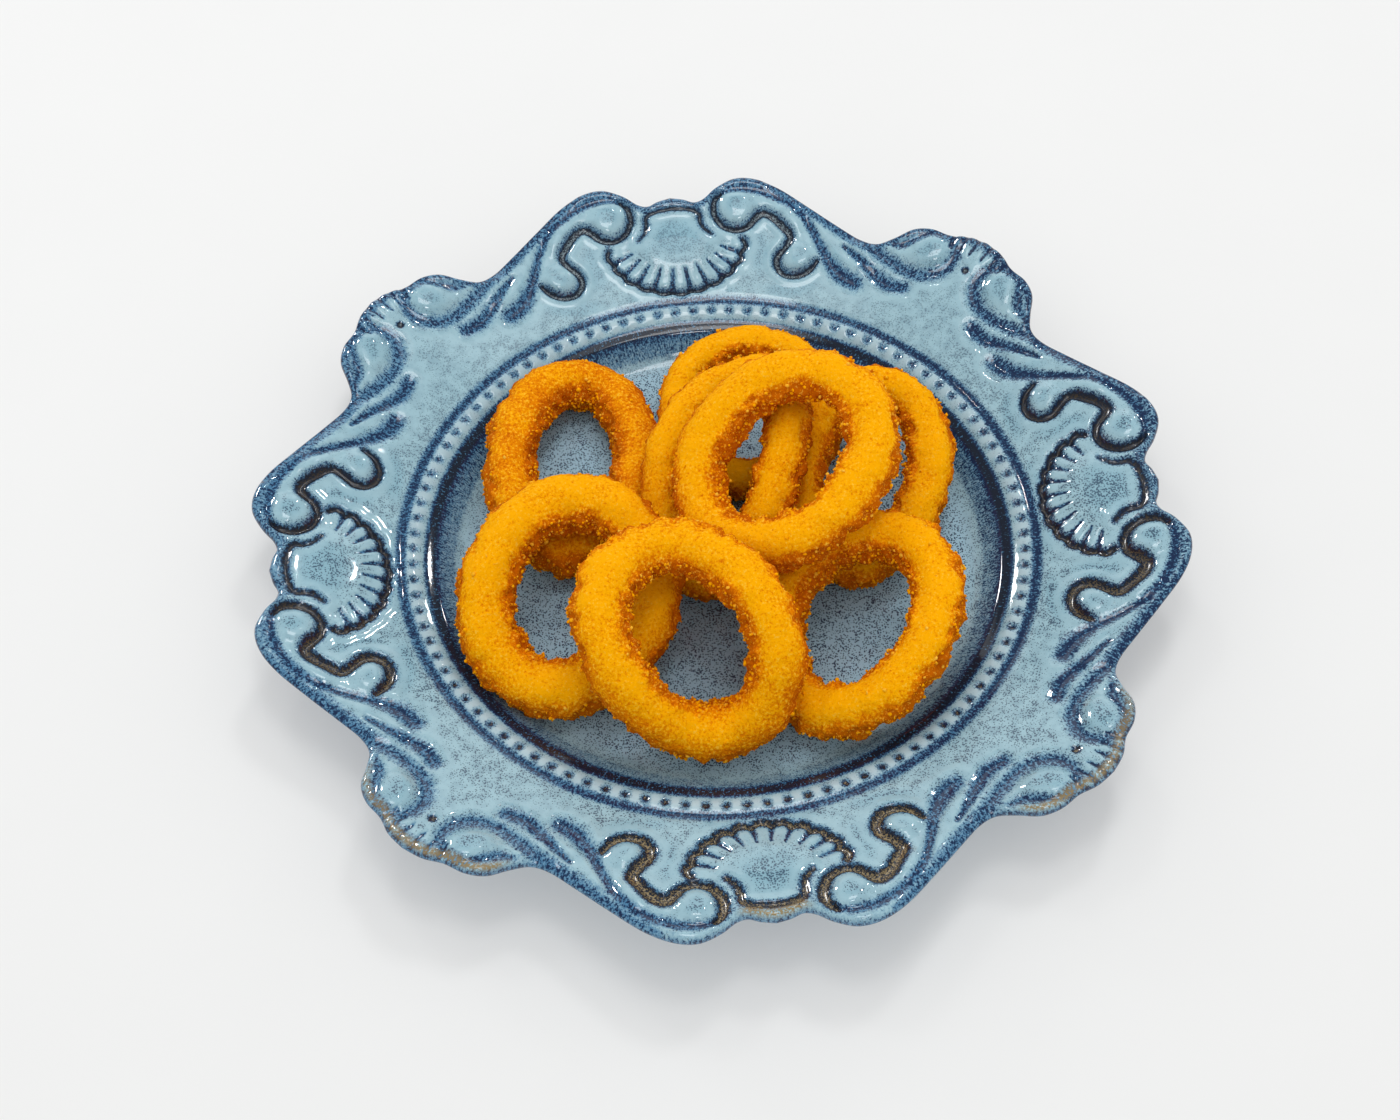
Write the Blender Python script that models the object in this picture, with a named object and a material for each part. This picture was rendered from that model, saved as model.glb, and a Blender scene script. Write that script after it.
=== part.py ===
"""Fried squid rings heaped in the well of a scroll-edged stoneware plate.

Every size is in millimetres until it becomes a vertex. The plate stands on its foot
ring at height 0 with its centre on the origin. A shell sits on each of +X, +Y, -X, -Y,
and an eighth of the rim, from a shell's axis to the corner, is drawn once and mirrored.
"""
import math
import random

import bmesh
import bpy
from mathutils import Matrix, Vector

MM = 0.001

# The well and the foot
FLOOR_HEIGHT = 7.0
FLOOR_RADIUS = 69.5
WELL_EDGE_RADIUS = 81.4
WELL_EDGE_HEIGHT = 13.3
FOOT_OUTER_RADIUS = 72.0
FOOT_INNER_RADIUS = 66.0
FOOT_RECESS = 2.6
FOOT_INNER_DRAFT = 1.2
WELL_SEGMENTS = 72

# The top from the floor over the well's edge and the bead line (radius, height)
WELL_PROFILE = [(FLOOR_RADIUS, FLOOR_HEIGHT), (72.8, 7.6), (76.0, 9.4), (79.2, 12.0),
                (WELL_EDGE_RADIUS, WELL_EDGE_HEIGHT), (84.0, 13.7), (86.3, 14.9), (89.0, 15.0)]

# The underside from below the rim to the hollow inside the foot ring (radius, height)
UNDER_PROFILE = [(86.0, 8.6), (80.5, 4.0), (75.5, 1.7), (FOOT_OUTER_RADIUS, 0.0),
                 (FOOT_INNER_RADIUS, 0.0), (FOOT_INNER_RADIUS - FOOT_INNER_DRAFT, FOOT_RECESS)]

# The rim
RIM_SLOPE = 0.255
RIM_THICKNESS = 4.6
RIM_START_RADIUS = 89.4
UNDER_START_RADIUS = 93.4
RIM_LOOPS = (0.2, 0.4, 0.58, 0.76, 0.9)
UNDER_LOOP = 0.75
RIM_SEGMENTS = 144
SHELLS = 4

# The rounded lip, from the rim's top to its underside (inset from the outline, drop)
LIP_PROFILE = [(3.6, 0.0), (1.0, 0.3), (0.0, 1.9), (0.9, 4.2)]

# Half of one shell's stretch of the outline, from its axis to the corner (across, out)
OUTLINE = [(0.0, 125.6), (4.0, 124.7), (7.2, 123.4), (10.5, 124.4), (14.5, 127.4),
           (20.5, 129.8), (27.0, 128.7), (34.0, 124.4), (42.0, 116.8), (50.0, 108.8),
           (56.0, 103.1), (61.0, 100.7), (66.5, 101.5), (72.5, 103.1), (78.0, 101.9),
           (83.0, 98.6), (88.5, 96.6), (93.2, 93.2)]

# Broad swellings of the rim: across, out, half width, half length, height
SWELLINGS = {
    "shell": (0.0, 108.0, 17.0, 12.0, 1.7),
    "scroll_bulb": (20.0, 118.4, 6.5, 6.5, 1.6),
    "scroll_tail": (36.4, 99.6, 5.5, 5.5, 1.3),
    "corner_curl": (75.0, 94.0, 8.0, 6.0, 1.2),
}

# Carved lines: the path (across, out), then their width and depth
SCROLL = [(37.0, 120.0), (31.0, 124.0), (24.0, 126.2), (17.5, 125.5), (13.6, 122.0),
          (12.9, 117.5), (15.2, 113.6), (19.5, 111.9), (23.6, 113.2), (27.0, 116.3),
          (31.0, 114.0), (33.8, 109.6), (35.0, 106.0), (31.6, 102.8), (29.8, 98.8),
          (31.6, 95.2), (36.0, 94.0), (40.2, 96.0)]
LEAVES = [[(43.0, 104.0), (45.5, 97.0), (48.5, 91.5), (52.5, 88.0)],
          [(52.0, 99.0), (56.0, 93.5), (60.5, 87.5), (65.8, 83.8)]]
SHELL_EDGE_CENTRE = 110.0
SHELL_EDGE_HALF_WIDTH = 20.5
SHELL_EDGE_REACH = 16.3
SHELL_EDGE_SWEEP = math.radians(82.0)
SHELL_EDGE_POINTS = 13
SCROLL_WIDTH = 2.9
SHELL_EDGE_WIDTH = 2.4
LEAF_WIDTH = 4.0
LINE_DEPTH = 1.0
LINE_TIP = 0.55
LINE_SIDES = 5
CUTTER_OVERSIZE = 1.15

# The rings of battered squid: the middle of each, its height above the well's floor,
# the way its face leans (degrees towards +X and +Y), the turn of its oval, the oval's
# half sizes along the middle of the batter, the batter's radius, and how far the oval
# is bent out of flat.
RINGS = {
    "ring_back_left": dict(middle=(-38.3, 31.8), height=9.3, lean=(8, -1), turn=-11,
                           oval=(18.4, 30.7), batter=7.2, bend=(1.0, 0.2)),
    "ring_front_left": dict(middle=(-43.4, -19.8), height=17.2, lean=(-1, -18), turn=-24,
                            oval=(22.7, 27.3), batter=8.1, bend=(0.7, -0.8)),
    "ring_front": dict(middle=(-13.1, -45.2), height=27.5, lean=(-2, -32), turn=36,
                       oval=(21.1, 27.2), batter=7.7, bend=(3.8, -4.4)),
    "ring_front_right": dict(middle=(33.4, -38.7), height=17.9, lean=(-20, -7), turn=-32,
                             oval=(22.4, 26.8), batter=7.2, bend=(1.6, -0.8)),
    "ring_right": dict(middle=(43.6, 13.6), height=14.5, lean=(2, -15), turn=-22,
                       oval=(17.9, 28.0), batter=6.5, bend=(1.1, -0.4)),
    "ring_top": dict(middle=(18.9, 3.6), height=36.9, lean=(-14, -13), turn=-49,
                     oval=(22.4, 27.4), batter=7.4, bend=(0.4, -1.3)),
    "ring_under": dict(middle=(4.4, 14.9), height=20.4, lean=(-20, -11), turn=-22,
                       oval=(17.5, 30.7), batter=6.6, bend=(4.0, 0.0)),
    "ring_back": dict(middle=(15.2, 46.0), height=6.8, lean=(-2, -3), turn=3,
                      oval=(22.2, 24.6), batter=5.5, bend=(-0.3, 0.6)),
}
RING_STATIONS = 28
RING_SIDES = 10
UNEVENNESS = 0.06
UNEVEN_WAVES = (2, 3, 5)

CURVE_STEPS = 12
SHARP_EDGE = math.radians(50.0)

GLAZE_BLUE = (0.19, 0.34, 0.46, 1.0)
CRUST_GOLD = (0.86, 0.34, 0.012, 1.0)


def clear_scene():
    for old in list(bpy.data.objects):
        bpy.data.objects.remove(old, do_unlink=True)


def principled(name, colour, roughness):
    material = bpy.data.materials.new(name)
    material.use_nodes = True
    shader = material.node_tree.nodes["Principled BSDF"]
    shader.inputs["Base Color"].default_value = colour
    shader.inputs["Roughness"].default_value = roughness
    shader.inputs["Metallic"].default_value = 0.0
    return material


def smooth_path(points, steps):
    """A Catmull-Rom curve through the points, with so many steps to each stretch."""
    ends = [points[0]] + list(points) + [points[-1]]
    path = []
    for before, start, end, after in zip(ends, ends[1:], ends[2:], ends[3:]):
        for step in range(steps):
            t = step / steps
            path.append(tuple(
                0.5 * (2 * b + (c - a) * t + (2 * a - 5 * b + 4 * c - d) * t * t
                       + (3 * b - a - 3 * c + d) * t ** 3)
                for a, b, c, d in zip(before, start, end, after)))
    path.append(points[-1])
    return path


def fold(angle):
    """Bring a direction back to the drawn eighth: 0 on a shell's axis, pi/4 in a corner."""
    sector = 2 * math.pi / SHELLS
    turned = angle % sector
    return min(turned, sector - turned)


def outline_table():
    """Direction and reach of the drawn eighth of the outline, closely spaced."""
    return [(math.atan2(across, out), math.hypot(across, out))
            for across, out in smooth_path(OUTLINE, CURVE_STEPS)]


def reach(angle, table):
    """How far the rim reaches from the centre in one direction."""
    target = fold(angle)
    for (low, near), (high, far) in zip(table, table[1:]):
        if target <= high:
            share = (target - low) / (high - low) if high > low else 0.0
            return near + (far - near) * share
    return table[-1][1]


def rim_height(x, y):
    """Height of the rim's top: a shallow cone with the broad swellings on it."""
    radius = math.hypot(x, y)
    height = WELL_EDGE_HEIGHT + RIM_SLOPE * (radius - WELL_EDGE_RADIUS)
    angle = fold(math.atan2(y, x))
    across, out = radius * math.sin(angle), radius * math.cos(angle)
    for middle, centre, half_width, half_length, swell in SWELLINGS.values():
        distance = ((across - middle) / half_width) ** 2 + ((out - centre) / half_length) ** 2
        if distance < 1.0:
            height += swell * (1.0 - distance) ** 2
    return height


def ring_of(bm, count, place):
    """A closed loop of vertices, edge by edge, where place(angle) gives (x, y, z) in mm."""
    verts = []
    for index in range(count):
        angle = 2 * math.pi * index / count
        verts.append(bm.verts.new(Vector(place(angle)) * MM))
    return [bm.edges.new((verts[i], verts[(i + 1) % count])) for i in range(count)]


def round_loop(radius, height):
    return lambda angle: (radius * math.cos(angle), radius * math.sin(angle), height)


def rim_loop(table, share, inset=0.0, drop=0.0):
    """A loop of the rim at a share of the way out, less an inset, below the top by a drop."""
    def place(angle):
        span = reach(angle, table) - inset - RIM_START_RADIUS
        radius = RIM_START_RADIUS + share * span
        x, y = radius * math.cos(angle), radius * math.sin(angle)
        return (x, y, rim_height(x, y) - drop)
    return place


def under_loop(table, share):
    """A loop of the rim's plain underside at a share of the way out."""
    def place(angle):
        radius = UNDER_START_RADIUS + share * (reach(angle, table) - UNDER_START_RADIUS)
        height = WELL_EDGE_HEIGHT + RIM_SLOPE * (radius - WELL_EDGE_RADIUS) - RIM_THICKNESS
        return (radius * math.cos(angle), radius * math.sin(angle), height)
    return place


def plate_mesh():
    """The plate as loops from the middle of the well over the rim and back underneath."""
    table = outline_table()
    lip_inset = LIP_PROFILE[0][0]
    rows = [(WELL_SEGMENTS, round_loop(*point)) for point in WELL_PROFILE]
    rows += [(RIM_SEGMENTS, rim_loop(table, share, inset=lip_inset)) for share in RIM_LOOPS]
    rows += [(RIM_SEGMENTS, rim_loop(table, 1.0, inset, drop)) for inset, drop in LIP_PROFILE]
    rows += [(RIM_SEGMENTS, under_loop(table, UNDER_LOOP)), (WELL_SEGMENTS, under_loop(table, 0.0))]
    rows += [(WELL_SEGMENTS, round_loop(*point)) for point in UNDER_PROFILE]

    bm = bmesh.new()
    loops = [ring_of(bm, count, place) for count, place in rows]
    for inner, outer in zip(loops, loops[1:]):
        bmesh.ops.bridge_loops(bm, edges=inner + outer)
    for loop in (loops[0], loops[-1]):
        bmesh.ops.holes_fill(bm, edges=loop, sides=0)
    bmesh.ops.triangulate(bm, faces=bm.faces[:])
    bmesh.ops.recalc_face_normals(bm, faces=bm.faces[:])
    return bm


def to_plate(across, out, quarter, side):
    """Place a point of the drawn eighth in one of the plate's eight stretches."""
    turned = Matrix.Rotation(quarter * 2 * math.pi / SHELLS, 2)
    return turned @ Vector((out, side * across))


def carved_line(bm, path, width, quarter, side):
    """A closed round bar along a path of the rim, sunk so that it cuts a shallow groove."""
    radius = width / 2 * CUTTER_OVERSIZE
    lift = radius - LINE_DEPTH
    points = [to_plate(across, out, quarter, side) for across, out in path]
    sections = []
    for index, point in enumerate(points):
        ahead = points[min(index + 1, len(points) - 1)] - points[max(index - 1, 0)]
        sideways = Vector((-ahead.y, ahead.x)).normalized()
        tip = LINE_TIP if index in (0, len(points) - 1) else 1.0
        height = rim_height(point.x, point.y) + lift
        section = []
        for corner in range(LINE_SIDES):
            turn = 2 * math.pi * (corner + 0.5) / LINE_SIDES
            across = sideways * radius * tip * math.cos(turn)
            section.append(bm.verts.new(Vector((
                point.x + across.x, point.y + across.y,
                height + radius * tip * math.sin(turn))) * MM))
        sections.append([bm.edges.new((section[i], section[i - 1]))
                         for i in range(LINE_SIDES)])
    for start, end in zip(sections, sections[1:]):
        bmesh.ops.bridge_loops(bm, edges=start + end)
    for section in (sections[0], sections[-1]):
        bmesh.ops.holes_fill(bm, edges=section, sides=0)


def shell_edge():
    """The rounded front edge of a shell, from one side across its axis to the other."""
    step = 2 * SHELL_EDGE_SWEEP / (SHELL_EDGE_POINTS - 1)
    turns = [-SHELL_EDGE_SWEEP + step * index for index in range(SHELL_EDGE_POINTS)]
    return [(SHELL_EDGE_HALF_WIDTH * math.sin(turn),
             SHELL_EDGE_CENTRE - SHELL_EDGE_REACH * math.cos(turn)) for turn in turns]


def groove_cutters(collection):
    """One closed bar for every carved line of the rim."""
    lines = [(SCROLL, SCROLL_WIDTH)] + [(leaf, LEAF_WIDTH) for leaf in LEAVES]
    jobs = [(path, width, quarter, side) for path, width in lines
            for quarter in range(SHELLS) for side in (1, -1)]
    jobs += [(shell_edge(), SHELL_EDGE_WIDTH, quarter, 1) for quarter in range(SHELLS)]
    cutters = []
    for index, (path, width, quarter, side) in enumerate(jobs):
        bm = bmesh.new()
        carved_line(bm, path, width, quarter, side)
        bmesh.ops.recalc_face_normals(bm, faces=bm.faces[:])
        mesh = bpy.data.meshes.new("groove_%02d" % index)
        bm.to_mesh(mesh)
        bm.free()
        cutter = bpy.data.objects.new(mesh.name, mesh)
        cutter.hide_render = True
        cutter.display_type = "WIRE"
        collection.objects.link(cutter)
        cutters.append(cutter)
    return cutters


def new_object(name, bm, material):
    mesh = bpy.data.meshes.new(name)
    bm.to_mesh(mesh)
    bm.free()
    mesh.materials.append(material)
    mesh.shade_smooth()
    mesh.set_sharp_from_angle(angle=SHARP_EDGE)
    obj = bpy.data.objects.new(name, mesh)
    bpy.context.scene.collection.objects.link(obj)
    return obj


def build_plate(material):
    """The plate, with its scrolls, shells and leaves carved into the rim."""
    plate = new_object("plate", plate_mesh(), material)
    grooves = bpy.data.collections.new("grooves")
    bpy.context.scene.collection.children.link(grooves)
    cutters = groove_cutters(grooves)
    carve = plate.modifiers.new("carve", "BOOLEAN")
    carve.operation = "DIFFERENCE"
    carve.operand_type = "COLLECTION"
    carve.collection = grooves
    carve.solver = "EXACT"
    carved = bpy.data.meshes.new_from_object(
        plate.evaluated_get(bpy.context.evaluated_depsgraph_get()))
    plate.modifiers.remove(carve)
    plate.data = carved
    carved.name = "plate"
    for cutter in cutters:
        bpy.data.objects.remove(cutter, do_unlink=True)
    bpy.data.collections.remove(grooves)
    carved.shade_smooth()
    carved.set_sharp_from_angle(angle=SHARP_EDGE)
    return plate


def leaning_frame(lean, turn):
    """The turned and leaning axes of a ring: along, across and up through its face."""
    up = Vector((math.tan(math.radians(lean[0])), math.tan(math.radians(lean[1])), 1.0))
    up.normalize()
    along = Vector((math.cos(math.radians(turn)), math.sin(math.radians(turn)), 0.0))
    along = (along - up * along.dot(up)).normalized()
    across = up.cross(along)
    return Matrix((along, across, up)).transposed()


def oval_point(oval, bend, turn):
    return Vector((oval[0] * math.cos(turn), oval[1] * math.sin(turn),
                   bend[0] * math.cos(2 * turn) + bend[1] * math.sin(2 * turn)))


def ring_mesh(oval, batter, bend, rng):
    """An uneven tube of batter round a bent oval, centred on its own origin."""
    waves = [(count, rng.uniform(0, 2 * math.pi), rng.uniform(0.4, 1.0))
             for count in UNEVEN_WAVES]
    total = sum(weight for _, _, weight in waves)
    bm = bmesh.new()
    sections = []
    step = 2 * math.pi / RING_STATIONS
    for station in range(RING_STATIONS):
        turn = step * station
        middle = oval_point(oval, bend, turn)
        ahead = (oval_point(oval, bend, turn + step) - oval_point(oval, bend, turn - step))
        ahead.normalize()
        outwards = ahead.cross(Vector((0, 0, 1))).normalized()
        upwards = outwards.cross(ahead)
        wave = sum(weight * math.sin(count * turn + phase) for count, phase, weight in waves)
        radius = batter * (1.0 - UNEVENNESS * (0.5 + 0.5 * wave / total))
        section = []
        for side in range(RING_SIDES):
            around = 2 * math.pi * side / RING_SIDES
            section.append(bm.verts.new((middle + radius * (
                outwards * math.cos(around) + upwards * math.sin(around))) * MM))
        sections.append([bm.edges.new((section[i], section[i - 1]))
                         for i in range(RING_SIDES)])
    for index in range(RING_STATIONS):
        bmesh.ops.bridge_loops(bm, edges=sections[index] + sections[index - 1])
    bmesh.ops.triangulate(bm, faces=bm.faces[:])
    bmesh.ops.recalc_face_normals(bm, faces=bm.faces[:])
    return bm


def build_ring(name, spec, material, parent):
    rng = random.Random(name)
    obj = new_object(name, ring_mesh(spec["oval"], spec["batter"], spec["bend"], rng), material)
    place = Vector((*spec["middle"], FLOOR_HEIGHT + spec["height"])) * MM
    obj.location = place
    obj.rotation_euler = leaning_frame(spec["lean"], spec["turn"]).to_euler()
    obj.parent = parent
    return obj


def main():
    clear_scene()
    build_plate(principled("blue_glaze", GLAZE_BLUE, 0.15))
    heap = bpy.data.objects.new("heap", None)
    bpy.context.scene.collection.objects.link(heap)
    crust = principled("golden_crust", CRUST_GOLD, 0.75)
    for name, spec in RINGS.items():
        build_ring(name, spec, crust, heap)


main()
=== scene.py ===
"""Fried squid rings heaped on a blue stoneware plate with a carved, scalloped rim.

The plate is one closed stoneware mesh: its rim follows the outline of the solid plate and
is carved with scrolls, shells, leaves, a fan of ribs in each corner and a line of beads.
Each ring takes the form of its own solid and gets a breadcrumb skin and loose crumbs.
Drawn ornament is in millimetres in one eighth of the rim: across from a shell's axis, and
out from the plate's centre. Everything that becomes a vertex is in metres.
"""
import math
import random

import bmesh
import bpy
import numpy as np
from bpy.props import FloatProperty, FloatVectorProperty, IntProperty, PointerProperty
from mathutils import Matrix, Vector, noise


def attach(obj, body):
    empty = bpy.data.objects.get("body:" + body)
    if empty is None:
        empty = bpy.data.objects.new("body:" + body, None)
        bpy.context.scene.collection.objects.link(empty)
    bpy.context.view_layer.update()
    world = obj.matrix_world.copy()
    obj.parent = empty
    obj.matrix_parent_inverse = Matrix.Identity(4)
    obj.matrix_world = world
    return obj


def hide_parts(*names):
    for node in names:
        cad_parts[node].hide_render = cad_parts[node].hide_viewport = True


bl_info = {
    "name": "Plate of Fried Squid Rings",
    "version": (1, 0, 0),
    "blender": (4, 5, 0),
    "location": "View3D > Sidebar > Squid Plate",
    "description": "Carved stoneware plate with a heap of breaded squid rings",
    "category": "Object",
}

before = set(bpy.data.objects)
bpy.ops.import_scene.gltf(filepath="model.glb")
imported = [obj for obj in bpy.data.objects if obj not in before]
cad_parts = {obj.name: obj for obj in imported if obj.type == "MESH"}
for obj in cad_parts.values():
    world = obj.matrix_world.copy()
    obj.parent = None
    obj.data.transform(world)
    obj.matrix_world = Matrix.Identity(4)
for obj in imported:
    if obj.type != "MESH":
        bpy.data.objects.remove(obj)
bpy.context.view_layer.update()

MM = 0.001
BODY = "root"
PLATE_NODE = "plate"
RING_NODES = sorted(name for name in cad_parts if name.startswith("ring_"))

# The photograph's camera; its focal length is in the photograph's own pixels
PHOTO_WIDTH = 1400
FOCAL_PIXELS = 2651.6
SENSOR_WIDTH = 36.0
CAMERA_AZIMUTH = math.radians(-5.496)
CAMERA_ELEVATION = math.radians(54.367)
CAMERA_ROLL = math.radians(-1.350)
CAMERA_DISTANCE = 0.7562
CAMERA_TARGET = Vector((-5.32, 0.34, 6.0)) * MM

# The plate's section, from the well's floor to the bead line (radius, height)
FLOOR_HEIGHT = 7.0
WELL_EDGE_RADIUS = 81.4
WELL_EDGE_HEIGHT = 13.3
WELL_SECTION = [(2.0, FLOOR_HEIGHT), (30.0, FLOOR_HEIGHT), (52.0, FLOOR_HEIGHT),
                (64.0, FLOOR_HEIGHT), (69.5, 7.05), (71.6, 7.3), (73.6, 8.0), (75.4, 9.0),
                (77.2, 10.4), (78.8, 11.7)]
EDGE_SECTION = [(79.6, 12.3), (80.2, 12.75), (80.8, 13.05), (WELL_EDGE_RADIUS, WELL_EDGE_HEIGHT),
                (82.0, 13.45), (82.6, 13.6)]
UNDER_SECTION = [(93.4, 11.8), (86.0, 8.6), (80.5, 4.0), (75.5, 1.7), (72.0, 0.0),
                 (66.0, 0.0), (64.8, 2.6), (30.0, 2.6), (2.0, 2.6)]
RIM_SLOPE = 0.255
RIM_START = 89.4
RIM_ROWS = 54
RIM_SAG = 0.45
SAG_SPAN = (82.0, 126.0)
BEAD_START = 83.2
BEAD_ROWS = 12
NOMINAL_REACH = 126.0
LIP_INSET = 3.6
LIP_SECTION = [(2.9, 0.03), (2.1, 0.16), (1.3, 0.5), (0.6, 1.05), (0.15, 1.8), (0.0, 2.6),
               (0.35, 3.5), (1.3, 4.3), (3.4, 4.6)]
LIP_FADE = 2.4
RIM_SEGMENTS = 1152
WELL_SEGMENTS = 288
DOUBLINGS = 5
SHELLS = 4

# Half of one shell's stretch of the outline, from its axis to the corner: across, out
OUTLINE = [(0.0, 125.6), (4.0, 124.7), (7.2, 123.4), (10.5, 124.4), (14.5, 127.4),
           (20.5, 129.8), (27.0, 128.7), (34.0, 124.4), (42.0, 116.8), (50.0, 108.8),
           (56.0, 103.1), (61.0, 100.7), (66.5, 101.5), (72.5, 103.1), (78.0, 101.9),
           (83.0, 98.6), (88.5, 96.6), (93.2, 93.2)]

# Broad swellings of the rim: across, out, half width, half length, height
SWELLINGS = {
    "shell": (0.0, 105.5, 17.0, 12.5, 1.6),
    "scroll_bulb": (20.0, 118.4, 6.5, 6.5, 1.6),
    "scroll_tail": (36.4, 99.6, 5.5, 5.5, 1.3),
    "corner_curl": (75.0, 94.0, 8.0, 6.0, 1.2),
    "scroll_ribbon": (36.5, 113.5, 5.0, 7.0, 0.7),
    "corner_leaf": (55.5, 96.5, 4.0, 9.0, 0.5),
}

# Hollows between the ornament with denser speckles: across, out, half width, half length
SPECKLED = [(0.0, 110.5, 12.0, 8.0), (25.0, 103.5, 4.5, 9.0), (19.5, 119.0, 4.0, 4.0),
            (36.5, 98.5, 3.0, 3.0), (33.0, 90.0, 10.0, 3.5), (48.0, 98.0, 2.0, 5.0),
            (76.0, 92.0, 6.0, 6.0), (10.0, 91.8, 8.0, 2.0)]

# Carved lines with a crisp edge: across, out, half width
SCROLL = [(15.6, 124.6, 0.8), (13.6, 122.6, 1.3), (12.9, 120.4, 1.5), (13.0, 117.5, 1.5),
          (15.0, 113.8, 1.4), (18.8, 111.8, 1.35), (22.5, 112.5, 1.5), (25.3, 115.0, 1.8),
          (27.8, 116.2, 1.95), (30.4, 114.6, 1.9), (33.0, 111.2, 1.8), (35.0, 107.3, 1.7),
          (33.0, 104.0, 1.6), (30.3, 101.3, 1.65), (29.8, 98.0, 1.6), (31.8, 95.0, 1.5),
          (35.5, 94.0, 1.4), (39.3, 95.3, 1.3), (42.0, 98.0, 0.9)]
HINGE = [(0.0, 121.0, 0.9), (5.0, 120.4, 0.95), (8.0, 118.8, 1.0), (8.3, 116.0, 0.9),
         (9.0, 113.5, 0.8), (11.3, 110.8, 0.5)]
SCROLL_DEPTH = 1.35
HINGE_DEPTH = 0.8
CREST_HEIGHT = 0.16
CREST_GAP = 1.7
CREST_HALF = 1.1

# The shell: its scalloped front edge and the short ribs behind it
SHELL_CENTRE = 110.0
SHELL_HALF_WIDTH = 20.5
SHELL_REACH = 16.3
SHELL_SWEEP = math.radians(85.0)
SHELL_SCALLOPS = 11
SCALLOP_BULGE = 0.055
SHELL_EDGE_HALF = 1.1
SHELL_EDGE_DEPTH = 1.15
RIB_FOCUS = (0.0, 113.0)
RIB_LENGTH = 6.4
RIB_HALVES = (1.05, 0.4)
RIB_DEPTH = 0.65

# Soft hollows where the dark glaze pools: across, out, half width
LEAVES = [[(14.8, 124.2, 1.0), (19.0, 125.4, 1.4), (25.0, 124.6, 1.6), (31.0, 121.9, 1.7),
           (36.0, 117.8, 1.6), (39.4, 113.4, 1.5), (41.8, 108.0, 1.4), (43.4, 103.0, 1.5),
           (45.2, 97.2, 2.0), (48.2, 91.8, 2.8), (52.0, 88.4, 2.8)],
          [(50.5, 101.0, 0.8), (54.0, 96.3, 1.4), (57.6, 90.8, 2.1), (61.2, 86.2, 2.4),
           (65.8, 83.8, 2.3)]]
BANDS = [[(30.0, 126.4, 1.0), (36.0, 121.8, 1.6), (42.0, 115.8, 2.0), (48.0, 109.4, 2.3),
          (54.0, 103.4, 2.5), (59.0, 98.4, 2.5), (63.5, 93.2, 2.4), (68.0, 88.8, 2.3),
          (73.0, 86.3, 2.4), (78.5, 86.5, 2.4), (82.3, 89.6, 2.1), (83.4, 94.0, 1.6),
          (81.0, 98.0, 1.4), (77.0, 99.6, 1.3), (72.5, 98.8, 1.6), (68.5, 98.0, 1.8),
          (65.0, 98.8, 1.2)]]
LEAF_DEPTH = 0.8
BAND_DEPTH = 0.7

# The corner's fan of ribs, its pit, and the bead line
FAN_CENTRE = (65.0, 65.0)
FAN_TURNS = [math.radians(degrees) for degrees in (3.4, 9.2, 14.8)]
FAN_SPAN = (33.0, 40.5)
FAN_HALVES = (0.5, 1.0)
FAN_DEPTH = 0.7
PIT_PLACE = (84.9, 84.9)
PIT_HALF = 1.6
PIT_DEPTH = 0.8
BEADS = 100
BEAD_RADIUS = 86.3
BEAD_HALF = 1.5
BEAD_DEPTH = 0.65
BEAD_RIDGE = 0.6
BEAD_RIDGE_HALF = 2.7

# The two dark rings beside the beads: radius, half width, depth, how strongly glaze pools
OUTER_LINE = (89.7, 1.7, 0.25, 0.78)
INNER_LINE = (81.8, 1.5, 0.25, 1.0)

# How a cut's sides slope: the shares of its half width where they begin and end
CRISP_SLOPE = (0.25, 1.25)
RIB_SLOPE = (0.2, 1.6)
SOFT_SLOPE = (0.1, 1.75)
PIT_SLOPE = (0.3, 1.2)
DIMPLE_SLOPE = (0.2, 1.2)

# How strongly dark glaze pools, from 0 to 1
EDGE_POOL = 0.55
RIB_POOL = 0.92
LEAF_POOL = 0.78
BAND_POOL = 0.66
DIMPLE_POOL = 0.76
HALO_POOL = 0.4
LIP_POOL = 0.62
WALL_POOL = 0.50
FACE_POOL = 0.95

# Where golden brown shows on the lip, across from a shell's axis: its notch and the fan
NOTCH_EDGES = (11.0, 6.0)
FAN_EDGES = (64.0, 70.0)

# Limits between the plate's parts, in millimetres: a drop is measured down from the cone
TOP_DROP = 1.0
UNDER_DROP = 3.0
ROUND_UNDER = 8.0
OUTER_RIM = 100.0
FAR_INSET = 40.0
FAR_GAP = 6.0

# The glaze's noises, in turns per millimetre, and how its streaks run down the rim
SPECK_SCALE = 1.9
STREAK_SCALE = 1.7
PATCH_SCALE = 0.085
CLOUD_SCALE = 0.3
DOT_SCALE = 1.75
RAGGED_SCALE = 0.85
STREAK_RADIUS = 105.0
STREAK_STRETCH = 0.55
EAST_SPAN = (30.0, 110.0)

# Lamps that only the glaze mirrors: name, direction, size in metres, share of the power
GLINTS = [("key_glint", (0.32, 0.58, 0.75), 0.045, 1.0),
          ("second_glint", (-0.10, 0.47, 0.877), 0.018, 0.17),
          ("east_glint", (0.60, 0.70, 0.40), 0.10, 0.9),
          ("west_glint", (-0.50, 0.75, 0.43), 0.30, 8.0),
          ("north_veil", (0.06, 0.272, 0.96), 0.60, 0.5),
          ("south_veil", (0.05, 0.88, 0.44), 1.20, 1.7),
          ("front_veil", (0.05, -0.35, 0.94), 0.25, 1.0)]

LAMP_DISTANCE = 2.0
TOP_DISTANCE = 1.4
LAMP_SIZE = 0.30
TOP_SIZE = 0.40

# The crust: sizes of its lumps, dents, chips, grains and sand, in metres
SUBDIVISIONS = 4
TUBE_SHRINK = 0.44 * MM
LUMP_SIZE = 0.013
DENT_SIZE = 0.0048
CHIP_SIZE = 0.0026
GRAIN_SIZE = 0.0014
SAND_SIZE = 0.00085
STRETCHES = 72

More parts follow.
